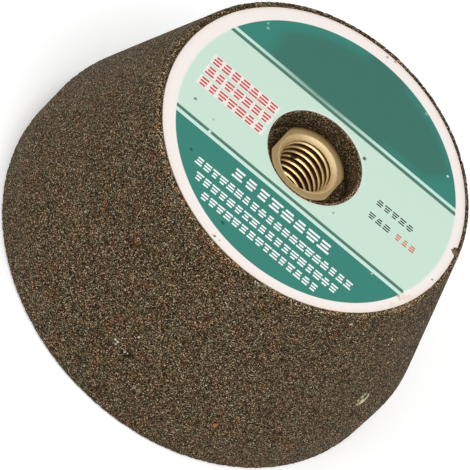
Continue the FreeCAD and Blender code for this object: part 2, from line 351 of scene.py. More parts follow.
cup = {
    "rimRadius": float(cupHigh[0]),
    "height": float(cupHigh[2]),
    "bandHeight": 11.0,
    "backRadius": 38.7,
    "rimWidth": 20.0,
    "bowlTaper": 5.0,
    "bowlDepth": insertLow[2],
    "floorRounding": 6.0,
    "edgeBevel": 0.4,
    "wellRadius": 11.05,
    "wellFloor": 45.0,
    "wellBevel": 0.3,
    "coarseAround": 210,      # spans round the hidden and inner parts, a third of those outside
    "fineStep": 0.5,
    "bevelStep": 0.3,
    "fineMargin": 3.4,        # how far in from the back edge the fine mesh goes under the label
    "fineFace": 1.0,          # and from the rim over the grinding face
    "stepDown": 0.6,          # width of the strip between the fine and the coarse rings
    "mouthMargin": 1.5,       # how far round the well the rings are close
    "seatMargin": 1.2,        # how far from the seat the rings are round again
    "gritDepth": 0.2,         # how deep the pits between grains go at most
    "gritPower": 2.5,         # the higher, the fewer of them are deep
    "insideGritShare": 0.8,   # the same for the well and the bowl
    "insideGritPower": 2,
    "waveDepth": 0.06,        # slow unevenness of the moulded side
    "wavePasses": 14,
    "marks": [                # single knocks and lumps: place, radius and how far each stands out
        ((-4.6, -47.9, 17.9), 0.55, -0.7),
        ((-8.0, -47.4, 18.0), 0.45, 0.15),
        ((20.7, -44.6, 14.1), 0.5, 0.1),
        ((36.9, 4.8, 52.0), 1.0, 0.29),
        ((35.9, -14.3, 51.9), 0.8, -0.35),
        ((34.6, -17.6, 51.8), 0.9, -0.3),
        ((33.0, -20.4, 51.7), 0.7, -0.25),
    ],
    "grainsPerMetre": 5200.0,
    "dustPerMetre": 8200.0,
    "dustShare": 0.15,
    "patchesPerMetre": 480.0,
    "grainColours": [         # from the darkest grains to the lightest
        (0.16, linear(20, 11, 3)),
        (0.32, linear(50, 36, 17)),
        (0.48, linear(96, 78, 53)),
        (0.72, linear(130, 109, 81)),
        (0.86, linear(174, 155, 127)),
        (0.95, linear(240, 228, 202)),
    ],
    "patchTints": [           # rust, plain, olive and grey
        (0.33, (1.15, 0.94, 0.80, 1.0)),
        (0.46, (1.01, 0.975, 0.92, 1.0)),
        (0.57, (0.97, 1.0, 0.85, 1.0)),
        (0.70, (0.93, 0.99, 0.98, 1.0)),
    ],
    "bond": linear(18, 11, 5),
    "bondShare": 0.95,
    "gapHeights": (0.44, 0.18),           # the dark gap round a grain, bond and painted shade, begins and is full at these heights
    # the tint and lift of the rubbed back edge, which is wear, and of one side of the well's mouth, a
    # painted highlight
    "wornTint": (1.08, 0.98, 0.90, 1.0),
    "wornLift": 0.12,
    "rubbedReach": (1.35, 0.75),          # how far from the back edge it is rubbed a little, and fully
    "rubbedFront": (6.0, -12.0),          # where across the wheel the rubbing grows to its full strength
    "rubbedBehind": 0.3,                  # and how strong it is behind
    # how far from the well's mouth the painted highlight reaches a little, and fully
    "mouthReach": (0.9, 0.4),
    "mouthSide": (0.85, -0.53),           # the side of the well's mouth that gets the painted highlight
    "wellEvening": (0.8, 0.175),          # what the well's tones are multiplied by, and what is added
    "redTint": (1.20, 0.89, 0.81, 1.0),
    "redSpecks": (450.0, 0.12, 0.3),
    "roughness": 0.95,
    "glossSpread": 0.3,                   # how much smoother the glossiest grains are
    "specular": 0.12,
    "bump": (0.7, 0.00012),               # strength, and depth in metres
    "stains": [
        ((37.0, 4.7, 52.2), 0.9, (160, 138, 112), 0.4),
        ((35.8, -14.0, 51.9), 0.9, (146, 92, 66), 0.5),
        ((35.4, -15.1, 51.6), 0.5, (196, 172, 138), 0.6),
        ((34.6, -17.3, 51.8), 0.9, (178, 146, 106), 0.3),
        ((33.2, -20.0, 51.7), 0.8, (168, 134, 96), 0.25),
        # the pale chip low on the right side
        ((43.0, -19.7, 20.5), 0.32, (224, 220, 188), 0.75),
        ((43.5, -18.6, 20.4), 0.52, (222, 222, 180), 0.75),
        ((43.7, -18.0, 20.8), 0.55, (222, 220, 178), 0.80),
        ((43.8, -17.4, 21.3), 0.50, (212, 222, 168), 0.80),
        ((43.7, -17.0, 22.0), 0.38, (222, 220, 184), 0.80),
        ((43.5, -17.0, 22.6), 0.30, (226, 216, 194), 0.75),
        ((42.6, -19.0, 22.8), 0.40, (224, 220, 190), 0.80),
        ((42.8, -18.2, 23.2), 0.32, (224, 220, 190), 0.80),
        ((42.6, -19.8, 21.9), 0.36, (222, 220, 184), 0.75),
        ((43.3, -18.4, 21.3), 0.50, (214, 216, 172), 0.75),
        ((43.2, -19.0, 20.9), 0.45, (210, 212, 168), 0.70),
        ((43.2, -17.8, 22.3), 0.28, (58, 66, 26), 0.80),
        ((43.0, -19.1, 21.2), 0.26, (72, 80, 36), 0.75),
        # single pale grains and a rusty one
        ((38.2, -16.7, 41.2), 0.32, (230, 218, 196), 0.80),
        ((38.4, -17.2, 39.8), 0.28, (226, 214, 190), 0.75),
        ((27.5, -28.2, 49.5), 0.30, (232, 222, 200), 0.80),
        ((41.8, -14.4, 31.9), 0.32, (232, 222, 200), 0.80),
        ((20.7, -44.6, 14.1), 0.55, (196, 112, 56), 0.70),
        ((-8.5, -47.2, 18.1), 0.30, (226, 210, 186), 0.80),
        ((-7.8, -47.4, 18.2), 0.30, (214, 198, 174), 0.75),
        ((-7.8, -47.6, 17.4), 0.26, (214, 198, 174), 0.70),
        ((-5.2, -46.4, 22.8), 0.28, (226, 204, 190), 0.80),
        # the pit low on the left, darkened with painted shade, and two grains in it with painted highlights
        ((-5.7, -47.9, 17.1), 0.45, (12, 8, 4), 0.90),
        ((-4.5, -47.8, 17.1), 0.62, (14, 10, 6), 0.85),
        ((-4.6, -47.3, 17.9), 0.42, (20, 14, 8), 0.75),
        ((-3.9, -47.6, 17.7), 0.48, (14, 10, 6), 0.85),
        ((-3.1, -48.3, 16.3), 0.32, (14, 10, 6), 0.80),
        ((-5.2, -47.7, 17.4), 0.24, (206, 200, 186), 0.80),
        ((-4.5, -47.5, 17.4), 0.24, (206, 200, 186), 0.70),
    ],
}
insert = {
    "radius": 9.0,
    "flatReach": 8.0,
    "flatsTurn": math.radians(-5.6),
    # the worn edge round the face: radius, drop from the face and step
    "wornEdge": [(9.0, 0.2, 0.2), (8.93, 0.09, 0.25), (8.45, 0.0, 0.4)],
    "sharpAngle": 28,
    "anchorRadius": 8.3,
    "anchorTop": 40.0,
    "anchorBottom": 37.0,
    "around": cup["coarseAround"],
    "crestRadius": frame["record"]["mounts"][0]["dims"]["r_mm"],
    "rootRadius": 7.0,
    "pitch": 2.0,
    "pitchSteps": 32,
    # where on the profile the crest and then the root begin and end, and the next crest begins
    "profilePlaces": [0.0, 0.25, 0.5625, 0.6875, 1.0],
    "leadIn": 1.2,
    "leadInDepth": 2.1,
    "leadInPower": 1.7,       # how rounded the lead-ins are
    "brightFlank": [0.2, 0.25, 0.33, 0.38],     # where on the profile the upper flank is left without painted shade
    "sootFade": 0.04,         # how far from the lead-in's cone the painted shade reaches
    "colour": linear(227, 195, 138),
    "dullColour": linear(204, 170, 114),
    "bareColour": linear(255, 232, 186),
    # the colour of the painted shade between the thread's turns, and of the dark specks on the brass
    "sootColour": linear(84, 48, 20),
    "blotsPerMetre": 260.0,
    "ringsPerMetre": 9000.0,
    "ringBreaksPerMetre": 2500.0,
    "specks": (1400.0, 0.08, 0.2),
    "dullShare": 0.6,         # how strongly each colour covers the brass
    "bareShare": 0.8,
    "sootShare": 0.96,
    "speckShare": 0.4,
    "roughness": 0.34,        # of clean brass, and what dull, painted-shade and bare places add to it
    "dullRoughness": 0.10,
    "sootRoughness": 0.12,
    "bareRoughness": 0.22,
    "bump": (0.25, 0.00002),
    "stains": [
        ((-2.6, 5.8, 41.4), 0.75, (44, 30, 14), 0.95),
        ((-1.9, 6.0, 41.5), 0.50, (54, 38, 16), 0.90),
    ],
}


def flattedAngles(count):
    # even angles round the axis, with the nearest ones moved onto the corners of the two flats
    angles = np.arange(count) * fullTurn / count
    half = math.acos(insert["flatReach"] / insert["radius"])
    for corner in (half, -half, math.pi + half, math.pi - half):
        place = (insert["flatsTurn"] + corner) % fullTurn
        angles[round(place / fullTurn * count) % count] = place
    return angles


def flattedRadius(radius, flatness, angles):
    # a round radius, pulled in to the flats by flatness from 0 to 1
    acrossFlats = insert["flatReach"] / np.maximum(np.abs(np.cos(angles - insert["flatsTurn"])), 1e-6)
    return radius * (1 - flatness) + np.minimum(radius, acrossFlats) * flatness


def spinSection(section, angles):
    # section rows are radius, height and flatness, and each becomes one ring
    radius = flattedRadius(section[:, :1], section[:, 2:3], angles[None, :])
    height = np.broadcast_to(section[:, 1:2], radius.shape)
    return np.stack([radius * np.cos(angles), radius * np.sin(angles), height], -1)


def sectionNormals(section):
    # outward direction at each point of a section, as radius and height
    run = np.gradient(section[:, :2], axis=0)
    run /= np.linalg.norm(run, axis=1, keepdims=True)
    return np.stack([run[:, 1], -run[:, 0]], -1)


def sink(points, normals, angles, depth):
    # move each point into the material by its own depth
    outward = np.stack([normals[:, :1] * np.cos(angles), normals[:, :1] * np.sin(angles),
                        np.broadcast_to(normals[:, 1:2], (len(normals), len(angles)))], -1)
    return points - outward * depth[..., None]


def fineSection():
    # the outer edge of the grinding face, the band, the flaring side and the bare margin round the label
    rim, back, top = cup["rimRadius"], cup["backRadius"], cup["height"]
    bevel, step, bevelStep = cup["edgeBevel"], cup["fineStep"], cup["bevelStep"]
    inward, climb = rim - back, top - cup["bandHeight"]
    slope = math.hypot(inward, climb)
    return sampleSection([
        (rim - cup["fineFace"], 0, 0, step),
        (rim - bevel, 0, 0, bevelStep),
        (rim, bevel, 0, step),
        (rim, cup["bandHeight"], 0, step),
        (back + bevel * inward / slope, top - bevel * climb / slope, 0, bevelStep),
        (back - bevel, top, 0, step),
        (back - cup["fineMargin"], top, 0),
    ])


def coarseSection():
    # from under the label through the well and the insert's seat, then the bowl and the grinding face
    rim, top, floor = cup["rimRadius"], cup["height"], cup["bowlDepth"]
    bevel, rounding = cup["edgeBevel"], cup["floorRounding"]
    well, wellBevel, wellFloor = cup["wellRadius"], cup["wellBevel"], cup["wellFloor"]
    seat, anchor = insert["radius"], insert["anchorRadius"]
    mouth = rim - cup["rimWidth"]
    mouthAboveBevel = mouth - 0.06
    wallTilt = math.atan2(cup["bowlTaper"], floor)
    # the rounding's centre lies one radius below the floor and one radius in from the leaning wall
    wallAtCentre = mouth - cup["bowlTaper"] * (floor - rounding) / floor
    centre = (wallAtCentre - rounding / math.cos(wallTilt), floor - rounding)
    arc = [(centre[0] + rounding * math.cos(turn), centre[1] + rounding * math.sin(turn))
           for turn in np.linspace(math.pi / 2, wallTilt, 9)]
    return sampleSection([
        (cup["backRadius"] - cup["fineMargin"] - cup["stepDown"], top, 0, 3.0),
        (well + cup["mouthMargin"], top, 0, 0.3),
        (well + wellBevel, top, 0, 0.2),
        (well, top - wellBevel, 0, 0.4),
        (well, wellFloor, 0, 0.4),
        (seat, wellFloor, 1, 5.0),
        (seat, insert["anchorTop"], 1, 1.0),
        (anchor, insert["anchorTop"], 1, 3.0),
        (anchor, insert["anchorBottom"], 1, 1.0),
        (seat, insert["anchorBottom"], 1, 5.0),
        (seat, floor, 1, 0.6),
        (seat + cup["seatMargin"], floor, 0, 0.9),
        *[(*place, 0, 1.2) for place in arc[:-1]],
        (*arc[-1], 0, 0.8),
        (mouthAboveBevel, bevel, 0, 0.4),
        (mouth + bevel, 0, 0, 0.9),
        (rim - cup["fineFace"] - cup["stepDown"], 0, 0),
    ])


def makeCup():
    coarseCount = cup["coarseAround"]
    fineCount = 3 * coarseCount
    fineAngles = np.arange(fineCount) * fullTurn / fineCount
    coarseAngles = flattedAngles(coarseCount)
    fine, coarse = fineSection(), coarseSection()

    finePoints = spinSection(fine, fineAngles)
    pits = chance.random(finePoints.shape[:2]) ** cup["gritPower"] * cup["gritDepth"]
    depth = pits + smoothNoise(finePoints.shape[:2], cup["wavePasses"]) * cup["waveDepth"]
    for place, radius, rise in cup["marks"]:
        distance = np.linalg.norm(finePoints - np.array(place), axis=-1)
        depth = depth - rise * np.exp(-(distance / radius) ** 2)
    finePoints = sink(finePoints, sectionNormals(fine), fineAngles, depth)

    # the hidden seat and the back under the label stay smooth
    coarsePoints = spinSection(coarse, coarseAngles)
    radius, height, flatness = coarse.T
    shown = (flatness == 0) & ((radius < cup["wellRadius"] + 1) | (height < cup["height"] - 1))
    pits = chance.random(coarsePoints.shape[:2]) ** cup["insideGritPower"]
    pits = pits * cup["gritDepth"] * cup["insideGritShare"] * shown[:, None]
    coarsePoints = sink(coarsePoints, sectionNormals(coarse), coarseAngles, pits)

    firstCoarse = len(fine) * fineCount
    lastFine = (len(fine) - 1) * fineCount
    lastCoarse = firstCoarse + (len(coarse) - 1) * coarseCount
    faceSets = [
        ringFaces(0, len(fine), fineCount),
        stepDownFaces(lastFine, firstCoarse, coarseCount, True),
        ringFaces(firstCoarse, len(coarse), coarseCount),
        stepDownFaces(0, lastCoarse, coarseCount, False),
    ]
    points = np.concatenate([finePoints.reshape(-1, 3), coarsePoints.reshape(-1, 3)])
    piece = makeMesh("moulded_cup", points, faceSets)
    # the anchor's step has no depth on the two flats, where its rings lie on each other
    mergeDoubles(piece)
    return piece


def makeStoneMaterial():
    material, tree, shader = newMaterial("bonded_grit")
    place = objectPlace(tree)
    grains = grainValues(tree, place, cup["grainsPerMetre"])
    dust = grainValues(tree, place, cup["dustPerMetre"])
    patches = noiseValue(tree, place, cup["patchesPerMetre"], 0.5)
    millimetres = inMillimetres(tree, place)
    x, y, z = alongAxes(tree, millimetres)
    outward = distanceFrom(tree, x, y, (0.0, 0.0))

    # the broken edge round the back, most in front, is rubbed lighter, grain by grain
    fromBack = distanceFrom(tree, outward, z, (cup["backRadius"] - 0.3, cup["height"]))
    rubbed = fade(tree, multiplyAdd(tree, patches, 1.2, fromBack), *cup["rubbedReach"])
    inFront, behind = fade(tree, y, *cup["rubbedFront"]), cup["rubbedBehind"]
    rubbed = multiply(tree, rubbed, multiplyAdd(tree, inFront, 1 - behind, behind))
    # and one side of the well's mouth is painted lighter, a painted highlight beside the shaded well
    fromMouth = distanceFrom(tree, outward, z, (cup["wellRadius"] + 0.5, cup["height"]))
    sideX, sideY = cup["mouthSide"]
    sideways = multiplyAdd(tree, x, sideX, multiply(tree, y, sideY))
    mouth = multiply(tree, fade(tree, fromMouth, *cup["mouthReach"]), fade(tree, sideways, 6.0, 9.0))
    wearAndPaintedHighlight = highest(tree, rubbed, mouth)

    tone = multiply(tree, grains["Tone"], 1 - cup["dustShare"])
    tone = multiplyAdd(tree, dust["Tone"], cup["dustShare"], tone)
    # wear lifts the back edge's tone, and a painted highlight lifts one side of the well's mouth
    tone = multiplyAdd(tree, wearAndPaintedHighlight, cup["wornLift"], tone)
    # the grains in the well are more alike
    inWell = fade(tree, outward, cup["wellRadius"] + 0.3, cup["wellRadius"])
    tone = mixValue(tree, inWell, tone, multiplyAdd(tree, tone, *cup["wellEvening"]))
    colour = colourSteps(tree, tone, cup["grainColours"])
    colour = mixColour(tree, 1.0, colour, colourSteps(tree, patches, cup["patchTints"]), "MULTIPLY")
    colour = mixColour(tree, wearAndPaintedHighlight, colour, cup["wornTint"], "MULTIPLY")
    reds = speckMask(tree, place, cup["redSpecks"])
    colour = mixColour(tree, reds, colour, cup["redTint"], "MULTIPLY")
    # the dark gap round each grain is partly the bond and partly painted shade between the grains
    gapShade = fade(tree, grains["Height"], *cup["gapHeights"])
    colour = cover(tree, colour, gapShade, cup["bondShare"], cup["bond"])

    height = multiplyAdd(tree, dust["Height"], 0.35, grains["Height"])
    setInputs(tree, shader, {
        "Base Color": addStains(tree, colour, millimetres, cup["stains"]),
        "Roughness": multiplyAdd(tree, grains["Gloss"], -cup["glossSpread"], cup["roughness"]),
        "Specular IOR Level": cup["specular"],
        "Normal": bumpNormal(tree, height, *cup["bump"]),
    })
    return material


cupPiece = makeCup()
cupPiece.data.materials.append(makeStoneMaterial())
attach(cupPiece, "root")
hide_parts("abrasive_cup")
print("cup", len(cupPiece.data.polygons), "faces")


# The turned insert with its thread.

def threadSurface(angles):
    # Each ring of the grid follows the helix, so it keeps one place on the thread's profile: it climbs
    # one pitch a turn, and is held at the two end faces where it would run past them. The profile is a
    # flat crest, a 30 degree flank, a narrow root and a flank back, and the lead-ins cut it off.
    pitch, steps = insert["pitch"], insert["pitchSteps"]
    low, high = insertLow[2], insertHigh[2]
    ringCount = steps * (1 + math.ceil((high - low) / pitch)) + 1
    ring = np.arange(ringCount)[:, None]
    height = low + pitch * (ring / steps + angles[None, :] / fullTurn - 1)
    crest, root = insert["crestRadius"], insert["rootRadius"]
    phase = np.arange(steps) / steps
    profile = np.interp(phase, insert["profilePlaces"], [crest, crest, root, root, crest])
    profile = (2 * profile + np.roll(profile, 1) + np.roll(profile, -1)) / 4
    radius = np.broadcast_to(profile[ring % steps], height.shape)
    height = np.clip(height, low, high)
    # the lead-ins narrow by a power of what is left of their depth
    left = np.clip(1 - np.minimum(high - height, height - low) / insert["leadInDepth"], 0, 1)
    turned = crest + insert["leadIn"] * left ** insert["leadInPower"]
    # a burr fills the groove where it starts in a lead-in, and it opens as the lead-in narrows
    opened = np.clip(2.0 - 4.3 * left, 0, 1)
    # painted shade, standing in for the shadow between the turns, lies on the crests, roots and lower
    # flanks that the lead-ins leave uncut, and the upper flanks' lips and the lead-ins are bright
    upperFlank = np.interp(phase, insert["brightFlank"], [0.0, 1.0, 1.0, 0.0])
    uncut = np.clip(1 - (turned - radius) / insert["sootFade"], 0, 1)
    soot = (1 - upperFlank[ring % steps]) * uncut * opened
    bare = np.clip(4 * left, 0, 1) * (1 - soot)
    radius = turned + np.maximum(radius - turned, 0) * opened
    radius = np.where((height == low) | (height == high), crest + insert["leadIn"], radius)
    return np.stack([radius * np.cos(angles), radius * np.sin(angles), height], -1), soot, bare


def threadFaces(first, ringCount, around, steps):
    # rings run downwards in the section's order, and the last column meets the first one a pitch higher
    ring = np.arange(ringCount - 1)[:, None] * around
    here = np.arange(around - 1)[None, :]
    inner = [ring + around + here, ring + around + here + 1, ring + here + 1, ring + here]
    ring = np.arange(ringCount - 1 - steps) * around
    above = ring + steps * around
    last = around - 1
    seam = [ring + around + last, above + around, above, ring + last]
    return [first + np.stack(corners, -1).reshape(-1, 4) for corners in (inner, seam)]


def makeInsert():
    around, angles = insert["around"], flattedAngles(insert["around"])
    low, high = insertLow[2], insertHigh[2]
    outer, anchor = insert["radius"], insert["anchorRadius"]
    mouth = insert["crestRadius"] + insert["leadIn"]
    shell = sampleSection([
        (mouth, low, 0, 2.0),
        (outer, low, 1, 5.0),
        (outer, insert["anchorBottom"], 1, 1.0),
        (anchor, insert["anchorBottom"], 1, 3.0),
        (anchor, insert["anchorTop"], 1, 1.0),
        (outer, insert["anchorTop"], 1, 8.8),
        *[(radius, high - drop, 1, step) for radius, drop, step in insert["wornEdge"]],
        (mouth, high, 0),
    ])
    shellPoints = spinSection(shell, angles)
    threadPoints, soot, bare = threadSurface(angles)
    firstThread = len(shell) * around
    faceSets = [ringFaces(0, len(shell), around),
                *threadFaces(firstThread, len(threadPoints), around, insert["pitchSteps"])]
    points = np.concatenate([shellPoints.reshape(-1, 3), threadPoints.reshape(-1, 3)])
    piece = makeMesh("brass_insert", points, faceSets)
    for name, values in (("soot", soot), ("bare", bare)):
        setAttribute(piece, name, np.concatenate([np.zeros(firstThread), values.ravel()]))
    # the thread's rings end on the shell's
    mergeDoubles(piece)
    sharpen(piece, insert["sharpAngle"])
    return piece


def makeBrassMaterial():
    material, tree, shader = newMaterial("turned_brass")
    place = objectPlace(tree)
    dull = fade(tree, noiseValue(tree, place, insert["blotsPerMetre"], 4.0), 0.45, 0.72)
    bare, soot = meshValue(tree, "bare"), meshValue(tree, "soot")
    specks = speckMask(tree, place, insert["specks"])
    colour = cover(tree, insert["colour"], dull, insert["dullShare"], insert["dullColour"])
    colour = cover(tree, colour, bare, insert["bareShare"], insert["bareColour"])
    # painted shade between the thread's turns, on the crests, roots and lower flanks
    colour = cover(tree, colour, soot, insert["sootShare"], insert["sootColour"])
    colour = cover(tree, colour, specks, insert["speckShare"], insert["sootColour"])

    # concentric tool marks, broken up along each ring
    x, y, _ = alongAxes(tree, place)
    turns = multiply(tree, distanceFrom(tree, x, y, (0.0, 0.0)), fullTurn * insert["ringsPerMetre"])
    breaks = noiseValue(tree, place, insert["ringBreaksPerMetre"], 2.0)
    rings = calculate(tree, "SINE", multiplyAdd(tree, breaks, 1.5, turns))
    height = multiplyAdd(tree, rings, 0.5, multiply(tree, breaks, 1.2))

    # the lead-ins are turned bare, and rougher with fine tool marks
    roughness = insert["roughness"]
    for mask, added in ((dull, "dullRoughness"), (soot, "sootRoughness"), (bare, "bareRoughness")):
        roughness = multiplyAdd(tree, mask, insert[added], roughness)
    setInputs(tree, shader, {
        "Base Color": addStains(tree, colour, inMillimetres(tree, place), insert["stains"]),
        "Metallic": 1.0,
        "Roughness": roughness,
        "Normal": bumpNormal(tree, height, *insert["bump"]),
    })
    return material


insertPiece = makeInsert()
insertPiece.data.materials.append(makeBrassMaterial())
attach(insertPiece, "root")
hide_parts("threaded_insert")
print("insert", len(insertPiece.data.polygons), "faces")


# The paper label.

label = {
    "centre": (labelLow[:2] + labelHigh[:2]) / 2,
    "radius": (labelHigh[0] - labelLow[0]) / 2,
    "bottom": labelLow[2],
    "top": labelHigh[2],
    "punchCentre": np.array([0.10, -0.20]),
    "punchRadius": 11.675,
    "around": 1440,
    "ringsAcross": 26,
    "edgeDrop": 0.08,         # how far the cut edges are pressed down
    "edgeRaggedness": 0.07,
    "punchRaggedness": 0.04,
    "buckle": 0.035,          # how far the paper follows the grit under it
    "notchTurn": 8.1,         # where a lump of grit has broken the edge, in degrees round the label
    "notchDepth": 1.25,
    "notchHalfWidth": 1.75,
    "sharpAngle": 40,
    "bare": linear(244, 236, 232),
    # dirt for the specks, and dirt with painted shade for the cut edges
    "dirt": linear(92, 76, 60),
    "dust": linear(226, 208, 188),
    "dirtSpecks": (230.0, 0.07, 0.05),
    "haloShare": 0.65,        # how strongly the halo, the bare core, the dirt specks, and the dirt and painted shade on the cut edges cover
    "coreShare": 0.55,
    "speckShare": 0.5,
    "edgeDirtShare": 0.6,
    "roughness": 0.75,
    "inkGloss": 0.1,          # how much smoother the ink is than the paper
    "specular": 0.15,
    "bump": (0.12, 0.00005),
    "inks": {
        "mint": linear(200, 225, 209),
        "lightLine": linear(203, 231, 218),
        "lightLineAbove": linear(196, 229, 217),
        "darkLine": linear(82, 122, 107),
        "green": linear(58, 130, 117),
        "greenAbove": linear(62, 114, 102),
        "red": linear(202, 70, 74),
        "pink": linear(253, 234, 229),
        "black": linear(44, 52, 46),
        "orange": linear(214, 96, 62),
        "white": linear(248, 251, 249),
    },
    "printCentre": (0.77, -0.52),
    "printRadius": 34.65,
    "bands": [                # from the lower green field upwards: where each begins, and its ink
        (-15.22, "lightLine"),
        (-14.28, "darkLine"),
        (-13.43, "mint"),
        (12.79, "darkLine"),
        (13.70, "lightLineAbove"),
        (14.56, "greenAbove"),
    ],
    "thinMiddle": -7.0,       # where the upper light line is thinly printed, and how much of its ink goes
    "thinReach": (21.0, -3.0),
    "thinShares": (0.38, 0.58),
    # rows of plain marks: start, end, middle, half height, pitch, fill, halo, ink
    "rows": [
        (-30.5, -12.5, 3.0, 1.15, 2.57, 0.90, 0.24, "red"),
        (-30.5, -12.5, -0.5, 1.15, 2.57, 0.90, 0.24, "red"),
        (-30.5, -12.5, -4.0, 1.15, 2.57, 0.90, 0.24, "red"),
        (16.5, 27.0, 1.55, 0.80, 2.1, 0.84, 0.0, "black"),
        (16.5, 22.8, -2.75, 0.80, 2.1, 0.84, 0.0, "black"),
        (24.0, 29.9, -2.75, 0.80, 1.97, 0.72, 0.0, "orange"),
        (-13.0, 14.5, -18.25, 1.30, 3.44, 0.90, 0.0, "white"),
        (-21.0, 22.8, -22.35, 1.00, 2.19, 0.90, 0.0, "white"),
        (-19.2, 20.5, -25.85, 1.00, 2.21, 0.90, 0.0, "white"),
        (-15.7, 16.8, -29.2, 1.00, 2.17, 0.90, 0.0, "white"),
    ],
    "stains": [
        ((-28.6, -9.3, 52.3), 0.42, (96, 128, 112), 0.8),
        ((-22.8, -10.6, 52.3), 0.32, (150, 172, 160), 0.7),
        ((-22.9, -21.3, 52.3), 0.40, (34, 84, 74), 0.8),
        ((9.1, 8.8, 52.3), 0.48, (70, 92, 82), 0.9),
        ((10.2, -9.2, 52.3), 0.30, (110, 122, 112), 0.7),
        ((-8.0, -35.9, 52.3), 0.32, (92, 88, 82), 0.9),
        ((-6.6, -36.0, 52.3), 0.26, (186, 170, 160), 0.7),
        ((-8.2, -31.6, 52.3), 0.50, (30, 76, 68), 0.8),
        ((36.3, -5.7, 52.3), 0.26, (92, 94, 88), 0.9),
        ((-21.9, -13.9, 52.3), 0.42, (232, 238, 230), 0.8),
        ((24.6, -15.6, 52.3), 0.26, (196, 220, 196), 0.8),
        # the scuffed and dusty paper at the lower right; the first two stains are a crease, partly dirt and
        # partly painted shade in it
        ((32.2, -15.6, 52.3), 0.42, (186, 160, 134), 0.75),
        ((32.8, -16.1, 52.3), 0.35, (206, 186, 164), 0.65),
        ((33.3, -14.9, 52.3), 0.80, (222, 202, 184), 0.50),
        ((32.8, -13.6, 52.3), 0.45, (246, 238, 230), 0.75),
        ((33.3, -12.6, 52.3), 0.40, (246, 238, 230), 0.70),
        ((34.5, -13.9, 52.3), 0.95, (226, 208, 192), 0.45),
        ((35.4, -12.5, 52.3), 0.80, (228, 212, 198), 0.35),
        ((32.3, -18.8, 52.3), 0.90, (228, 210, 194), 0.45),
        ((30.6, -21.2, 52.3), 0.70, (230, 214, 198), 0.35),
        # specks on the upper half
        ((0.5, 36.2, 52.3), 0.35, (150, 128, 110), 0.7),
        ((2.5, 36.6, 52.3), 0.30, (156, 116, 104), 0.7),
        ((-25.3, 21.2, 52.3), 0.32, (156, 204, 190), 0.6),
        ((-24.7, 20.1, 52.3), 0.40, (160, 206, 192), 0.6),
        ((26.5, 20.5, 52.3), 0.32, (206, 238, 228), 0.8),
        ((14.8, 30.7, 52.3), 0.45, (160, 198, 186), 0.4),
        ((-18.3, 4.6, 52.3), 0.35, (222, 204, 188), 0.5),
    ],
}


def makeLabel():
    # Rings go up the outer edge, in over the top, down the punched edge and out under the sheet. Between
    # the two edges the rings change centre and radius evenly.
    angles = np.arange(label["around"]) * fullTurn / label["around"]
    top, bottom, across = label["top"], label["bottom"], label["ringsAcross"]
    pressed = top - label["edgeDrop"]
    sheet = np.linspace(0.03, 0.97, across)
    inward = np.concatenate([[0, 0.002, 0.006], sheet, [0.994, 0.998, 1, 0.6, 0.3]])
    height = np.array([bottom, pressed, top, *[top] * across, top, pressed, bottom, bottom, bottom])
    inward, height = inward[:, None], height[:, None]

    # an even bite for the notch, whose edge is much more ragged than the rest
    ragged = smoothNoise((1, len(angles)), 1) ** 2 * label["edgeRaggedness"]
    away = (np.degrees(angles) - label["notchTurn"] + 180) % 360 - 180
    bite = np.sqrt(np.clip(1 - (away / label["notchHalfWidth"]) ** 2, 0, 1))
    outer = label["radius"] - ragged - bite * (label["notchDepth"] - 8 * ragged)
    punched = label["punchRadius"] + smoothNoise((1, len(angles)), 3) * label["punchRaggedness"]
    radius = outer * (1 - inward) + punched * inward
    centre = label["centre"] * (1 - inward) + label["punchCentre"] * inward

    buckle = smoothNoise((len(height), len(angles)), 2) * label["buckle"] * (height > bottom)
    height = np.broadcast_to(height, radius.shape) - buckle
    x, y = centre[:, :1] + radius * np.cos(angles), centre[:, 1:] + radius * np.sin(angles)
    points = np.stack([x, y, height], -1).reshape(-1, 3)
    piece = makeMesh("paper_disc", points, [ringFaces(0, len(inward), label["around"], closed=True)])
    sharpen(piece, label["sharpAngle"])
    return piece


def makeMarkRowGroup():
    # One row of plain marks: the row is cut into cells of one pitch, and each holds a stack of three
    # short bars whose lengths vary. The stack's outline, a little wider, gives the halo.
    sizes = ("X", "Y", "Start", "End", "Middle", "Half Height", "Pitch", "Fill", "Halo Width")
    group, given, result = newGroup("markRow", dict.fromkeys(sizes, 0.0), ["Mask", "Halo"])
    fromStart = subtract(group, given["X"], given["Start"])
    pastEnd = subtract(group, given["X"], given["End"])
    outOfRow = highest(group, subtract(group, given["Start"], given["X"]), pastEnd)
    cell = calculate(group, "DIVIDE", fromStart, given["Pitch"])
    offCentre = distanceBetween(group, calculate(group, "FRACT", cell), 0.5)
    halfFill = multiply(group, given["Fill"], 0.5)
    fromMiddle = subtract(group, given["Y"], given["Middle"])
    upDown = subtract(group, calculate(group, "ABSOLUTE", fromMiddle), given["Half Height"])

    # a bar and the gap over it take one step, and two steps and a bar make the full height
    barShare = 0.56
    step = calculate(group, "DIVIDE", given["Half Height"], (2 + barShare) / 2)
    climbed = calculate(group, "DIVIDE", calculate(group, "ADD", fromMiddle, given["Half Height"]), step)
    offBar = distanceBetween(group, calculate(group, "FRACT", climbed), barShare / 2)
    overBar = multiply(group, subtract(group, offBar, barShare / 2), step)
    # a bar's length hangs on its row, its cell and its place in the stack
    seed = multiplyAdd(group, given["Middle"], 3.7, calculate(group, "FLOOR", cell))
    seed = multiplyAdd(group, calculate(group, "FLOOR", climbed), 17.3, seed)
    number = addNode(group, "ShaderNodeTexWhiteNoise", {"W": seed}, noise_dimensions="1D")["Value"]
    length = multiply(group, halfFill, multiplyAdd(group, number, 0.5, 0.55))
    acrossBar = multiply(group, subtract(group, offCentre, length), given["Pitch"])
    outOfBar = highest(group, acrossBar, overBar, upDown, outOfRow)

    acrossStack = multiply(group, subtract(group, offCentre, halfFill), given["Pitch"])
    outOfStack = highest(group, acrossStack, upDown, outOfRow)
    setInputs(group, result, {
        "Mask": fade(group, outOfBar, 0.05, -0.05),
        "Halo": fade(group, subtract(group, outOfStack, given["Halo Width"]), 0.1, -0.1),
    })
    return group


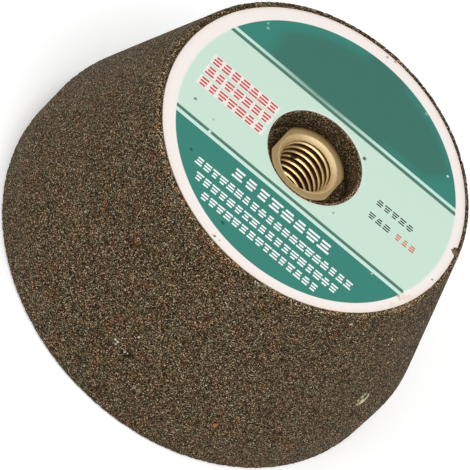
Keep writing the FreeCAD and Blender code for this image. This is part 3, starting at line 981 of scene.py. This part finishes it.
def printedColour(tree, x, y, place):
    # flat fields of ink inside a circle, set apart by the height across the label
    inks = label["inks"]
    fields = inks["green"]
    for edge, ink in label["bands"]:
        fields = mixColour(tree, fade(tree, y, edge - 0.05, edge + 0.05), fields, inks[ink])
    mintBottom, mintTop, lineBottom, lineTop = [edge for edge, _ in label["bands"][2:]]

    # the upper light line is thinly printed a little left of its middle, its upper half most
    inLine = multiply(tree, fade(tree, y, lineBottom - 0.02, lineBottom + 0.02),
                      fade(tree, y, lineTop + 0.02, lineTop - 0.02))
    fromThinnest = distanceBetween(tree, x, label["thinMiddle"])
    thin = multiply(tree, inLine, fade(tree, fromThinnest, *label["thinReach"]))
    thinness = multiplyAdd(tree, fade(tree, y, lineBottom, lineTop), *label["thinShares"])
    fields = cover(tree, fields, thin, thinness, inks["darkLine"])

    # the upper field turns to the brighter green at its two ends, along its rim beside the top, and by
    # the line on the right
    reach = distanceFrom(tree, x, y, label["printCentre"])
    leftEnd = fade(tree, x, -18.5, -24.0)
    rightEnd = fade(tree, subtract(tree, x, y), 3.5, 9.0)
    rim = fade(tree, multiplyAdd(tree, x, -0.04, reach), 31.2, 34.4)
    alongRim = multiply(tree, rim, fade(tree, distanceBetween(tree, x, 2.5), 3.5, 7.5))
    byLine = multiply(tree, fade(tree, y, 17.4, 15.6), fade(tree, x, 8.0, 13.0))
    brighter = highest(tree, leftEnd, rightEnd, alongRim, multiply(tree, byLine, 0.6))
    aboveBands = fade(tree, y, lineTop - 0.05, lineTop + 0.05)
    fields = cover(tree, fields, brighter, aboveBands, inks["green"])

    # the mint ink fades out at its edge and the green ink ends crisply
    radius = label["printRadius"]
    crisp = fade(tree, reach, radius + 0.1, radius - 0.1)
    soft = fade(tree, reach, radius + 0.35, radius - 0.45)
    fromMintMiddle = distanceBetween(tree, y, (mintTop + mintBottom) / 2)
    inMint = calculate(tree, "LESS_THAN", fromMintMiddle, (mintTop - mintBottom) / 2)
    inked = mixValue(tree, inMint, crisp, soft)

    # dust darkens the bare paper towards its cut edge
    fromMiddle = distanceFrom(tree, x, y, label["centre"])
    dusty = multiplyAdd(tree, fade(tree, fromMiddle, label["radius"] - 1.4, label["radius"]), 0.35, 0.06)
    mottle = noiseValue(tree, place, 900.0, 3.0)
    bare = cover(tree, label["bare"], mottle, multiply(tree, dusty, 2.0), label["dust"])
    return mixColour(tree, inked, bare, fields), inked


def makePaperMaterial():
    material, tree, shader = newMaterial("printed_paper")
    place = objectPlace(tree)
    millimetres = inMillimetres(tree, place)
    x, y, z = alongAxes(tree, millimetres)
    colour, inked = printedColour(tree, x, y, place)
    markRow = makeMarkRowGroup()
    for start, end, middle, halfHeight, pitch, fill, halo, ink in label["rows"]:
        row = useGroup(tree, markRow, {
            "X": x, "Y": y, "Start": start, "End": end, "Middle": middle, "Half Height": halfHeight,
            "Pitch": pitch, "Fill": fill, "Halo Width": halo})
        if halo:
            colour = cover(tree, colour, row["Halo"], label["haloShare"], label["inks"]["pink"])
        colour = mixColour(tree, row["Mask"], colour, label["inks"][ink])

    # the paper's white core shows along the punched edge, and the cut edges are darkened, partly by dirt
    # and partly as painted shade
    fromPunch = distanceFrom(tree, x, y, label["punchCentre"])
    core = fade(tree, fromPunch, label["punchRadius"] + 0.4, label["punchRadius"] + 0.15)
    colour = cover(tree, colour, core, label["coreShare"], label["bare"])
    specks = speckMask(tree, place, label["dirtSpecks"])
    colour = cover(tree, colour, specks, label["speckShare"], label["dirt"])
    colour = addStains(tree, colour, millimetres, label["stains"])
    # the cut edges are darkened: partly dirt, partly painted shade along the edge
    edge = fade(tree, z, label["top"] - 0.06, label["top"] - 0.16)
    colour = cover(tree, colour, edge, label["edgeDirtShare"], label["dirt"])

    # the grit under the sheet shows through, and its fibres over it
    grains = grainValues(tree, place, 1500.0)
    height = multiplyAdd(tree, noiseValue(tree, place, 6000.0, 2.0), 0.4, grains["Height"])
    setInputs(tree, shader, {
        "Base Color": colour,
        "Roughness": multiplyAdd(tree, inked, -label["inkGloss"], label["roughness"]),
        "Specular IOR Level": label["specular"],
        "Normal": bumpNormal(tree, height, *label["bump"]),
    })
    return material


labelPiece = makeLabel()
labelPiece.data.materials.append(makePaperMaterial())
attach(labelPiece, "root")
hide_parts("paper_label")
print("label", len(labelPiece.data.polygons), "faces")


# Floor, light and camera, in metres.

studio = {
    "white": (1.0, 1.0, 1.0, 1.0),
    "floorSize": 3.0,
    "floorDrop": 0.00005,     # the floor lies this far under the grinding face
    "floorColour": (0.92, 0.92, 0.92, 1.0),
    "floorGlow": 0.24,
    "skyLight": 0.42,
    "middle": (0.0, 0.0, 0.03),
    "distance": 1.3,
    # round soft boxes: direction from the part, diameter, and how bright the cloth looks
    "softBoxes": {
        "overhead_box": ((0.18, -0.316, 0.932), 0.85, 4.8),
        "left_box": ((-0.70, -0.35, 0.60), 1.50, 0.8),
        "front_box": ((0.50, -0.65, 0.58), 1.20, 0.4),
        "back_box": ((-0.62, 0.68, 0.38), 1.00, 0.35),
    },
    "cameraPlace": (-0.146092, -1.008006, 1.178211),
    "cameraAim": (-0.000942, -0.007198, 0.023642),
    "cameraRoll": 45.95,
    "lens": 536.17,           # focal length and sensor in millimetres
    "sensor": 36.0,
    "sightEnd": 20.0,
}


def makeFloor():
    half, low = studio["floorSize"] / 2 / mm, -studio["floorDrop"] / mm
    corners = np.array([(-half, -half, low), (half, -half, low), (half, half, low), (-half, half, low)])
    floor = makeMesh("floor", corners, [np.array([[0, 1, 2, 3]])])
    material, tree, shader = newMaterial("floor_paint")
    setInputs(tree, shader, {
        "Base Color": studio["floorColour"],
        "Roughness": 0.9,
        "Specular IOR Level": 0.1,
        "Emission Color": studio["white"],
        "Emission Strength": studio["floorGlow"],
    })
    floor.data.materials.append(material)


def aim(thing, place, target, roll=0.0):
    turn = (Vector(target) - Vector(place)).to_track_quat("-Z", "Y").to_matrix().to_4x4()
    thing.matrix_world = Matrix.Translation(place) @ turn @ Matrix.Rotation(math.radians(roll), 4, "Z")


def makeLights():
    world = bpy.data.worlds.new("studio")
    world.use_nodes = True
    tree = world.node_tree
    setInputs(tree, tree.nodes["Background"], {"Color": studio["white"], "Strength": studio["skyLight"]})
    bpy.context.scene.world = world
    middle = Vector(studio["middle"])
    for name, (direction, diameter, brightness) in studio["softBoxes"].items():
        light = bpy.data.lights.new(name, "AREA")
        light.shape = "DISK"
        light.size = diameter
        # a flat lamp's power is its brightness times pi times its area
        light.energy = brightness * math.pi * math.pi * diameter ** 2 / 4
        softBox = bpy.data.objects.new(name, light)
        softBox.visible_camera = False
        bpy.context.scene.collection.objects.link(softBox)
        aim(softBox, middle + Vector(direction).normalized() * studio["distance"], middle)


def makeCamera():
    camera = bpy.data.objects.new("camera", bpy.data.cameras.new("camera"))
    camera.data.lens = studio["lens"]
    camera.data.sensor_width = studio["sensor"]
    camera.data.clip_end = studio["sightEnd"]
    bpy.context.scene.collection.objects.link(camera)
    aim(camera, studio["cameraPlace"], studio["cameraAim"], studio["cameraRoll"])
    bpy.context.scene.camera = camera


makeFloor()
makeLights()
makeCamera()
bpy.context.scene.view_settings.view_transform = "Standard"
print("studio ready")
